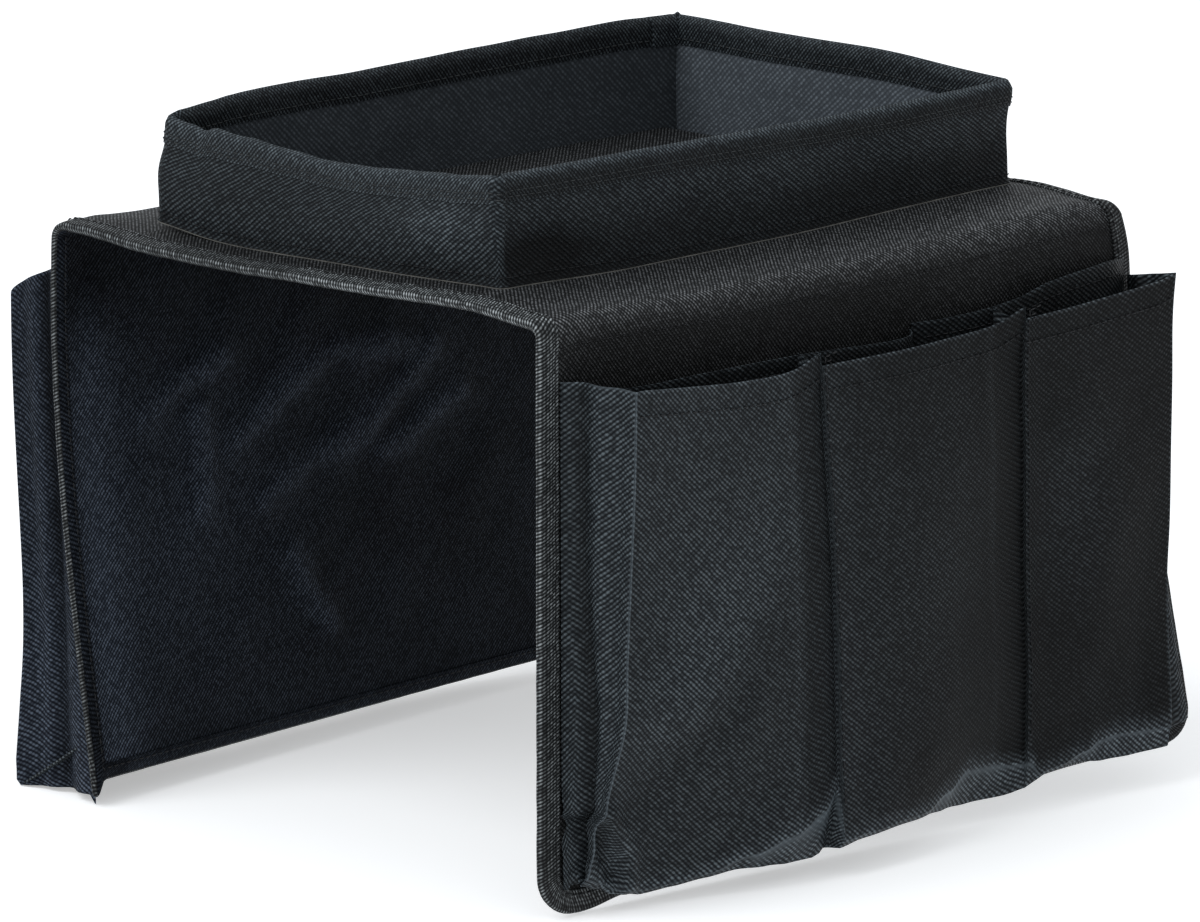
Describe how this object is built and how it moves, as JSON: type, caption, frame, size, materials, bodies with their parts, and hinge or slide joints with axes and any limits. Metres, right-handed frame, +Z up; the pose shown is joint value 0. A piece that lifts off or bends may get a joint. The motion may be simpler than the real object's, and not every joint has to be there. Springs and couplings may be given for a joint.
{
  "type": "sofa armrest organizer",
  "caption": "Black fabric saddle for a sofa arm: a shallow open tray on the stiff top, and a side flap each way that folds on a sewn crease and carries rows of open pockets.",
  "frame": {"origin": "middle of the lining's face that rests on the sofa's arm", "axes": "+X across the arm towards the flap whose pockets face the camera in the picture, +Y along the arm away from the near open end, +Z up"},
  "size_m": [0.3486, 0.3275, 0.2677],
  "materials": {
    "black_oxford_cloth": "matt woven cloth",
    "black_lining_cloth": "matt plain cloth",
    "black_binding_tape": "matt ribbed tape",
    "grey_stiffener_board": "matt"
  },
  "bodies": {
    "top": {"top_lining": "black_lining_cloth", "top_board": "grey_stiffener_board", "top_cover": "black_oxford_cloth", "top_front_binding": "black_binding_tape", "top_rear_binding": "black_binding_tape", "tray_front_wall": "black_oxford_cloth", "tray_front_stiffener": "grey_stiffener_board", "tray_rear_wall": "black_oxford_cloth", "tray_rear_stiffener": "grey_stiffener_board", "tray_left_wall": "black_oxford_cloth", "tray_left_stiffener": "grey_stiffener_board", "tray_right_wall": "black_oxford_cloth", "tray_right_stiffener": "grey_stiffener_board", "tray_rim_binding": "black_binding_tape", "tray_floor_board": "grey_stiffener_board", "tray_floor_cover": "black_lining_cloth", "right_fold_crease": "black_oxford_cloth", "left_fold_crease": "black_oxford_cloth"},
    "right_flap": {"right_flap_lining": "black_lining_cloth", "right_flap_board": "grey_stiffener_board", "right_flap_cover": "black_oxford_cloth", "right_flap_binding": "black_binding_tape", "right_pocket_front_panel": "black_oxford_cloth", "right_pocket_bottom": "black_oxford_cloth", "right_pocket_start_gusset": "black_oxford_cloth", "right_pocket_end_gusset": "black_oxford_cloth", "right_pocket_first_divider": "black_lining_cloth", "right_pocket_second_divider": "black_lining_cloth", "right_inner_pocket_long": "black_oxford_cloth", "right_inner_pocket_short": "black_oxford_cloth"},
    "left_flap": {"left_flap_lining": "black_lining_cloth", "left_flap_board": "grey_stiffener_board", "left_flap_cover": "black_oxford_cloth", "left_flap_binding": "black_binding_tape", "left_pocket_front_panel": "black_oxford_cloth", "left_pocket_bottom": "black_oxford_cloth", "left_pocket_start_gusset": "black_oxford_cloth", "left_pocket_end_gusset": "black_oxford_cloth", "left_pocket_first_divider": "black_lining_cloth", "left_pocket_second_divider": "black_lining_cloth", "left_inner_pocket_long": "black_oxford_cloth", "left_inner_pocket_short": "black_oxford_cloth"}
  },
  "joints": [
    {"name": "right_flap_fold", "type": "hinge", "parent": "top", "child": "right_flap", "pos_m": [0.12885, 0, 0], "axis": [0, -1, 0], "range_deg": [-30, 90], "deforming": ["right_fold_crease"]},
    {"name": "left_flap_fold", "type": "hinge", "parent": "top", "child": "left_flap", "pos_m": [-0.12885, 0, 0], "axis": [0, 1, 0], "range_deg": [-30, 90], "deforming": ["left_fold_crease"]}
  ]
}
